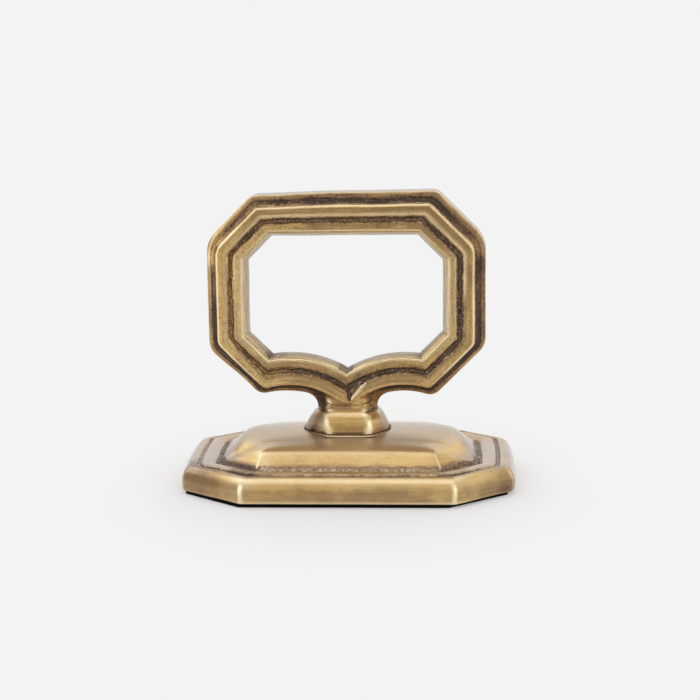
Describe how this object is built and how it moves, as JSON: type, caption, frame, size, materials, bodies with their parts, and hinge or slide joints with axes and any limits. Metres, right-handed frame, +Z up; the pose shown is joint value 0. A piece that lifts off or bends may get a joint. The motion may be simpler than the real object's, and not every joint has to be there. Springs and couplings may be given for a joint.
{
  "type": "place card napkin ring",
  "caption": "Free-standing cast brass napkin ring: a moulded frame-like loop with a double-arched lower side, on a flared pedestal and a stepped, domed, felt-backed base.",
  "frame": {"origin": "middle of the felt pad's underside, on the table", "axes": "+Z up, X along the loop's width, Y through the loop's opening with the front at -Y"},
  "size_m": [0.065, 0.0434, 0.0587],
  "materials": {
    "antique_brass": "satin, polished on the raised bands, with dark brown patina left in the grooves",
    "black_felt": "matte short-pile felt",
    "zinc_steel": "zinc-plated, satin"
  },
  "bodies": {
    "root": {"loop": "antique_brass", "pedestal": "antique_brass", "base": "antique_brass", "felt_pad": "black_felt", "clamp_screw": "zinc_steel", "flat_washer": "zinc_steel", "spring_washer": "zinc_steel"}
  },
  "joints": []
}
